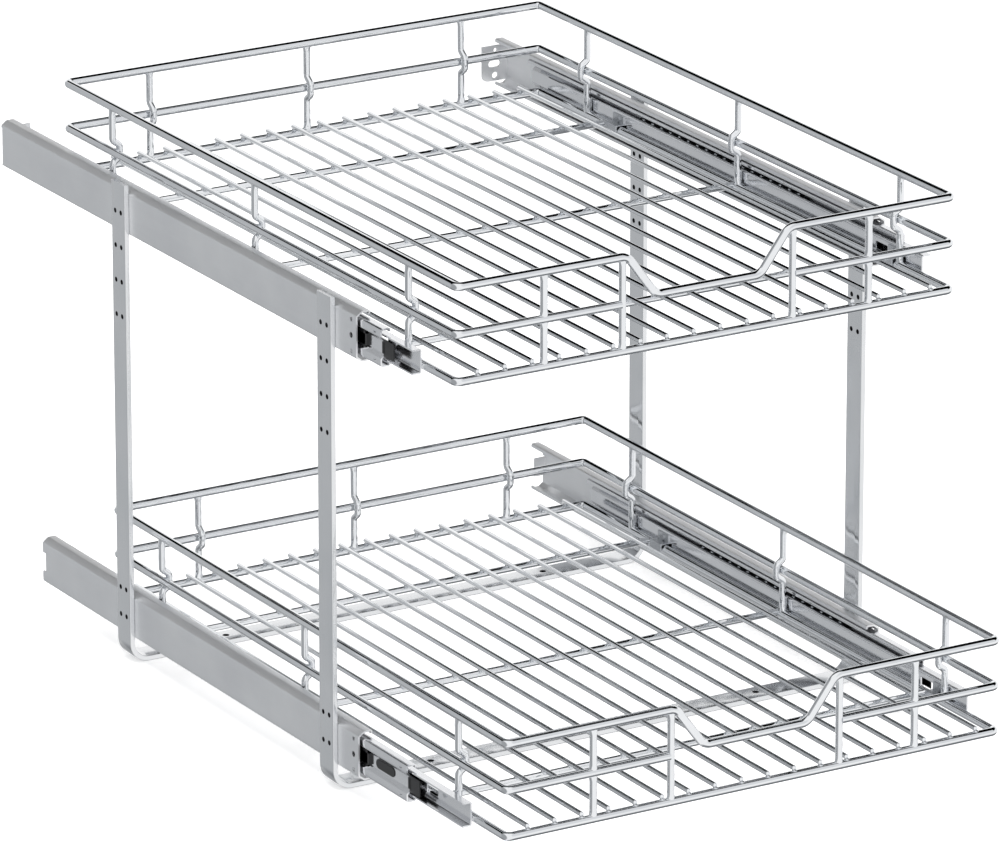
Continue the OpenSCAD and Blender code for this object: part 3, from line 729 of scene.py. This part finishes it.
for tier in TIERS:
    body = f"{tier}_drawer"
    _, _, front, back = rim_lines(f"{tier}_bottom_rim")
    cross_y = [*(front + y for y in CROSS_FROM_FRONT), back - CROSS_FROM_BACK]
    low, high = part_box(f"{tier}_cross_wires")
    z = (low.z + high.z) / 2
    parts = [rod((low.x, y, z), (high.x, y, z), CROSS_D / 2, 20, CROSS_DOME) for y in cross_y]
    cross = mesh_object(f"{tier}_cross_wires_welded", joined(parts), WIRE_SHARP)
    dress(cross, wire_chrome, body, f"{tier}_cross_wires")

    low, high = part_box(f"{tier}_floor_wires")
    z = (low.z + high.z) / 2
    wire_x = np.linspace(low.x + FLOOR_D / 2, high.x - FLOOR_D / 2, FLOOR_COUNT)
    parts = [rod((x, low.y, z), (x, high.y, z), FLOOR_D / 2, 16, FLOOR_DOME) for x in wire_x]
    for y in (front, back, *cross_y):
        parts += beads([(x, y, z - FLOOR_D / 2 + BEAD_RISE) for x in wire_x], BEAD_SIZE)
    wires = mesh_object(f"{tier}_floor_wires_welded", joined(parts), WIRE_SHARP)
    dress(wires, wire_chrome, body, f"{tier}_floor_wires")

# ---- front, side and back posts ----
# Five millimetre wires between the rims. The front ones are straight. The side and back ones kink
# inwards to pass the middle rim, and their pinched ends are welded on the bottom and top rims.

POST_D = 5 * MM
OUTER_POST_X = 126 * MM
BACK_POST_X = 126.5 * MM
SIDE_POSTS_FROM_FRONT = (62.5 * MM, 268.5 * MM)
SIDE_POST_FROM_BACK = 66.5 * MM
MIDDLE_RISE = 32.5 * MM                # middle rim above the bottom rim
TOP_RISE = 65 * MM
KINK_IN = 5.4 * MM
KINK_SLOPE = 3 / 4                     # a kink's sides rise 3 while they run 4 inwards
KINK_HOLD = 4.2 * MM                   # half height of the kink's straight middle
KINK_RADIUS = 3.6 * MM
PINCH_LENGTH = 5 * MM
PINCH_WIDER = 0.22                     # shares by which a pinched end is wider and thinner
PINCH_THINNER = 0.10
REACH = RIM_D / 2 - 1.2 * MM           # from a rim's axis to the wire that is welded on it


def post(levels, foot, inward):
    """A wire through (how far inwards, height) levels above foot, flared and pinched at both ends.

    The flare is 0.5 + 0.5 cos(pi d), with d the distance to the nearer end over the pinched length.
    """
    inward = np.asarray(inward, float)
    corners = [np.asarray(foot) + inward * a + np.array([0, 0, h]) for a, h in levels]
    line = rounded(corners, [0, *[KINK_RADIUS] * (len(levels) - 2), 0], step=9)
    climb = np.linspace(0, 1, 7)[1:-1, None] * PINCH_LENGTH
    low_run = line[0] + unit(line[1] - line[0]) * climb
    high_run = line[-1] + unit(line[-2] - line[-1]) * climb[::-1]
    line = np.concatenate([line[:1], low_run, line[1:-1], high_run, line[-1:]])
    near_end = np.minimum(line[:, 2] - line[0, 2], line[-1, 2] - line[:, 2])
    flare = 0.5 + 0.5 * np.cos(np.pi * np.clip(near_end / PINCH_LENGTH, 0, 1))
    pinch = np.stack([1 + PINCH_WIDER * flare, 1 - PINCH_THINNER * flare], -1)
    return swept(line, circle(POST_D / 2) * pinch[:, None], inward)


full = [(0, REACH), (0, TOP_RISE - REACH)]
lower_run = [(0, REACH), (0, MIDDLE_RISE - REACH)]
upper_run = [(0, MIDDLE_RISE + REACH), (0, TOP_RISE - REACH)]
front_runs = [(full, INNER_POST_X), (lower_run, OUTER_POST_X), (upper_run, OUTER_POST_X)]
kink = KINK_HOLD + KINK_IN * KINK_SLOPE
kinked = [
    (0, REACH),
    (0, MIDDLE_RISE - kink),
    (KINK_IN, MIDDLE_RISE - KINK_HOLD),
    (KINK_IN, MIDDLE_RISE + KINK_HOLD),
    (0, MIDDLE_RISE + kink),
    (0, TOP_RISE - REACH),
]
for tier in TIERS:
    left, right, front, back = rim_lines(f"{tier}_bottom_rim")
    z = sum(corner.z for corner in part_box(f"{tier}_bottom_rim")) / 2
    post_y = [*(front + y for y in SIDE_POSTS_FROM_FRONT), back - SIDE_POST_FROM_BACK]
    groups = {
        "front_posts_welded": [
            post(run, (sign * x, front, z), (0, 1, 0))
            for sign in SIDES.values()
            for run, x in front_runs
        ],
        "side_posts_kinked": [
            post(kinked, (x, y, z), (inward, 0, 0))
            for x, inward in ((left, 1), (right, -1))
            for y in post_y
        ],
        "back_posts_kinked": [
            post(kinked, (x, back, z), (0, -1, 0)) for x in (-BACK_POST_X, 0, BACK_POST_X)
        ],
    }
    for name, parts in groups.items():
        made = mesh_object(f"{tier}_{name}", joined(parts), WIRE_SHARP)
        stands_for = f"{tier}_{name.rpartition('_')[0]}"
        dress(made, wire_chrome, f"{tier}_drawer", stands_for)

# ---- intermediate slide members ----
# A channel of thinner sheet with a pocket pressed down its middle, away from the outer member.
# Near its front end it has a round-ended latch slot in the pocket and a small slot in each strip
# beside it.

MEMBER_T = 1.1 * MM
POCKET_FLOOR_U = 5.6 * MM
POCKET_HALF = 4.1 * MM
MIDDLE_SECTION = [(5.6, 4.1), (2.4, 7.3), (2.4, 13.26), (10.0, 13.26), (10.0, 10.76)]
MIDDLE_BENDS = [0.7, 1.3, 1.9, 1.5, 0]
LATCH_SLOT = (20.5 * MM, 45.5 * MM)    # from the member's front end
LATCH_SLOT_W = 7 * MM
LATCH_CUT = (4.6 * MM, 8 * MM)         # how deep the cutter goes, as the next one
STRIP_SLOT = (3 * MM, 1.2 * MM)
STRIP_SLOT_EDGE = 0.3 * MM
STRIP_SLOT_FROM_FRONT = 8 * MM
STRIP_SLOT_V = 9.5 * MM
STRIP_CUT = (1 * MM, 5 * MM)


def through_web(outline, depth, y, v, side, z):
    """An outline of (along Y, along Z) points drawn through a slide's web over a depth (u, u)."""
    path = [(SIDES[side] * (web_x[side] - u), y, z + v) for u in depth]
    return swept(path, outline, (0, 0, 1))


# Bright zinc plate over thinner, smoother sheet: a soft mirror, with rolling lines along the rail
bright_zinc = metal(
    "bright_zinc_plated_member",
    "#e8e9eb",
    "#e0e1e4",
    gloss=(0.12, 0.2),
    grain=0.9,
    stretch=(1, 0.04, 1),
)
latch_length = LATCH_SLOT[1] - LATCH_SLOT[0]
latch_middle = sum(LATCH_SLOT) / 2
middle_face, middle_back = sheet_section(MIDDLE_SECTION, MIDDLE_BENDS, MEMBER_T)
for tier in TIERS:
    z = slide_z[tier]
    for side in SIDES:
        node_name = f"{tier}_{side}_middle_rail"
        low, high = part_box(node_name)
        profile = sheet_rail(middle_face, middle_back, low.y, high.y, side, z)
        rail = mesh_object(f"{tier}_{side}_intermediate_member", profile)
        latch = slot_outline(latch_length, LATCH_SLOT_W)
        strip = rectangle(*STRIP_SLOT, STRIP_SLOT_EDGE)
        strip_y = low.y + STRIP_SLOT_FROM_FRONT
        cutters = [through_web(latch, LATCH_CUT, low.y + latch_middle, 0, side, z)]
        for v in (-STRIP_SLOT_V, STRIP_SLOT_V):
            cutters.append(through_web(strip, STRIP_CUT, strip_y, v, side, z))
        drilled(rail, cutters)
        dress(rail, bright_zinc, f"{tier}_{side}_middle", node_name)

# ---- drawer slide members ----
# The innermost channel, open towards the strap. A window in its web and a small tab across its
# front end work the latch, and two rivets hold the basket's clips on it.

DRAWER_WEB_U = 12.6 * MM
DRAWER_SECTION = [(12.6, 8.62), (5.5, 8.62)]
DRAWER_BENDS = [1.7, 0]
WINDOW = (42 * MM, 57 * MM)            # from the member's front end
WINDOW_H = 8 * MM
WINDOW_EDGE = 0.8 * MM
WINDOW_CUT = (10.5 * MM, 14 * MM)
FRONT_TAB_HALF = 5 * MM
FRONT_TAB_U = 5.95 * MM
FRONT_TAB_ROOT = 6 * MM
FRONT_TAB_BEND = 1.4 * MM
FRONT_TAB_EDGE = 0.2 * MM

window = rectangle(WINDOW[1] - WINDOW[0], WINDOW_H, WINDOW_EDGE)
drawer_face, drawer_back = sheet_section(DRAWER_SECTION, DRAWER_BENDS, -MEMBER_T)
for tier in TIERS:
    z = slide_z[tier]
    for side in SIDES:
        node_name = f"{tier}_{side}_drawer_rail"
        low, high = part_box(node_name)
        channel = sheet_rail(drawer_face, drawer_back, low.y, high.y, side, z)
        root = (DRAWER_WEB_U - MEMBER_T / 2, low.y + FRONT_TAB_ROOT)
        tip = (FRONT_TAB_U, low.y + MEMBER_T / 2)
        section = rectangle(2 * FRONT_TAB_HALF, MEMBER_T, FRONT_TAB_EDGE, 2)
        tab = bent_tab(root, tip, FRONT_TAB_BEND, section, 15, side, z)
        rail = mesh_object(f"{tier}_{side}_drawer_member", joined([channel, tab]))
        drilled(rail, [through_web(window, WINDOW_CUT, low.y + sum(WINDOW) / 2, 0, side, z)])
        dress(rail, bright_zinc, f"{tier}_drawer", node_name)

# ---- slide plastics ----
# Black acetal on the intermediate member: the latch insert in its slot, a stop block with a thin
# flange outside the web, and a front bumper with its shank.

INSERT_PLAY = 0.4 * MM
INSERT_DEPTH = (5.1 * MM, 6.7 * MM)
BLOCK_Y = {"lower": (52.5 * MM, 74 * MM), "upper": (20.5 * MM, 48 * MM)}
BLOCK_U = 3.7 * MM                     # outer face of the block in the pocket
BLOCK_EDGE = 0.3 * MM
FLANGE_T = 0.3 * MM
FLANGE_HALF = 5.7 * MM
FLANGE_INSET = 2 * MM                  # the flange starts this far behind the block's front
FLANGE_EDGE = 0.1 * MM
BUMPER_AHEAD = 13 * MM                 # in front of the intermediate member
BUMPER_T = 0.85 * MM
BUMPER_HALF = 6 * MM
BUMPER_EDGE = 0.25 * MM
SHANK_Y = (-1 * MM, 2 * MM)            # the bumper's shank, from the member's front end
GRAIN_RELIEF = 0.15


def plastic(name, colour, sheen, roughness, grain):
    """Moulded plastic: two close shades, with a faint moulded grain of that many millimetres."""
    made, nodes, shader = principled(name, {"Roughness": roughness, "IOR": 1.48})
    place = add(nodes, "ShaderNodeTexCoord").outputs["Object"]
    fine = add(
        nodes, "ShaderNodeTexNoise", {"Vector": place, "Scale": 1 / (grain * MM), "Detail": 2.0}
    )
    shade = add(nodes, "ShaderNodeValToRGB", {"Fac": fine.outputs["Fac"]})
    shade.color_ramp.elements[0].color = hex_colour(colour)
    shade.color_ramp.elements[1].color = hex_colour(sheen)
    bump = add(
        nodes,
        "ShaderNodeBump",
        {"Height": fine.outputs["Fac"], "Strength": GRAIN_RELIEF, "Distance": RELIEF_HEIGHT},
    )
    nodes.links.new(shade.outputs["Color"], shader.inputs["Base Color"])
    nodes.links.new(bump.outputs["Normal"], shader.inputs["Normal"])
    return made


# Acetal moulded against polished steel: near black, with a soft highlight
black_acetal = plastic("black_moulded_acetal", "#08090a", "#17181a", roughness=0.32, grain=0.6)
insert = slot_outline(latch_length - INSERT_PLAY, LATCH_SLOT_W - INSERT_PLAY)
bumper_u = POCKET_FLOOR_U - BUMPER_T
for tier in TIERS:
    z = slide_z[tier]
    for side in SIDES:
        end_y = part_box(f"{tier}_{side}_middle_rail")[0].y
        block_y0, block_y1 = (end_y + y for y in BLOCK_Y[tier])
        shank_y0, shank_y1 = (end_y + y for y in SHANK_Y)
        boxes = [
            (
                (BLOCK_U, block_y0, -POCKET_HALF),
                (POCKET_FLOOR_U, block_y1, POCKET_HALF),
                BLOCK_EDGE,
            ),
            (
                (BLOCK_U, block_y0 + FLANGE_INSET, -FLANGE_HALF),
                (BLOCK_U + FLANGE_T, block_y1, FLANGE_HALF),
                FLANGE_EDGE,
            ),
            (
                (bumper_u, end_y - BUMPER_AHEAD, -BUMPER_HALF),
                (POCKET_FLOOR_U, end_y, BUMPER_HALF),
                BUMPER_EDGE,
            ),
            (
                (bumper_u, shank_y0, -POCKET_HALF),
                (POCKET_FLOOR_U, shank_y1, POCKET_HALF),
                BUMPER_EDGE,
            ),
        ]
        parts = [through_web(insert, INSERT_DEPTH, end_y + latch_middle, 0, side, z)]
        parts += [block(*box, side, z) for box in boxes]
        made = mesh_object(f"{tier}_{side}_latch_plastics", joined(parts))
        node_name = f"{tier}_{side}_slide_plastics"
        dress(made, black_acetal, f"{tier}_{side}_middle", node_name)

# ---- ball cages and balls ----
# Thin pressed cages hold two rows of hardened steel balls between each pair of members. The cages
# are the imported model's own.

BALL_D = {"outer": 2.6 * MM, "inner": 3.0 * MM}
BALL_PITCH = 12 * MM


def finish_node(node_name, material):
    """Gives a CAD node that is shown as it is its one material."""
    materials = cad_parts[node_name].data.materials
    materials.clear()
    materials.append(material)


# Dull phosphated strip, dark grey all over in two close shades
cage_steel = metal(
    "dark_grey_cage_steel",
    "#6f7276",
    "#4c4f53",
    gloss=(0.34, 0.5),
    grain=0.7,
    stretch=(1, 0.1, 1),
    relief=0.05,
)
# Hardened and lapped bearing steel: a bright mirror
ball_steel = metal("lapped_bearing_steel", "#e4e6e8", "#d9dbde", gloss=(0.05, 0.09), grain=0.4)
for tier in TIERS:
    for side in SIDES:
        for race, ball_d in BALL_D.items():
            finish_node(f"{tier}_{side}_{race}_cage", cage_steel)
            node_name = f"{tier}_{side}_{race}_balls"
            low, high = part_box(node_name)
            r = ball_d / 2
            count = round((high.y - low.y - ball_d) / BALL_PITCH) + 1
            spots = [
                ((low.x + high.x) / 2, y, v)
                for y in np.linspace(low.y + r, high.y - r, count)
                for v in (low.z + r, high.z - r)
            ]
            parts = beads(spots, (r, r, r), 9, 14)
            made = mesh_object(f"{tier}_{side}_{race}_bearing_balls", joined(parts), WIRE_SHARP)
            dress(made, ball_steel, f"{tier}_{side}_{race}_race", node_name)

# ---- screws, clips and rivets ----
# Countersunk machine screws, pressed clips over the bottom rim, and the rivets that hold them, all
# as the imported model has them.

# Zinc plate on turned and pressed steel: bright, with a fine tumbled grain
fixing_zinc = metal("zinc_plated_fixing", "#cfd1d4", "#b9bcc0", gloss=(0.22, 0.34), grain=0.5)
# Black oxide on the hardened screws: dull and almost black
black_oxide = metal("black_oxide_screw", "#2b2c2e", "#1b1c1d", gloss=(0.4, 0.55), grain=0.4)
for tier in TIERS:
    finish_node(f"{tier}_screws", black_oxide)
    finish_node(f"{tier}_rim_clips", fixing_zinc)
    finish_node(f"{tier}_clip_rivets", fixing_zinc)
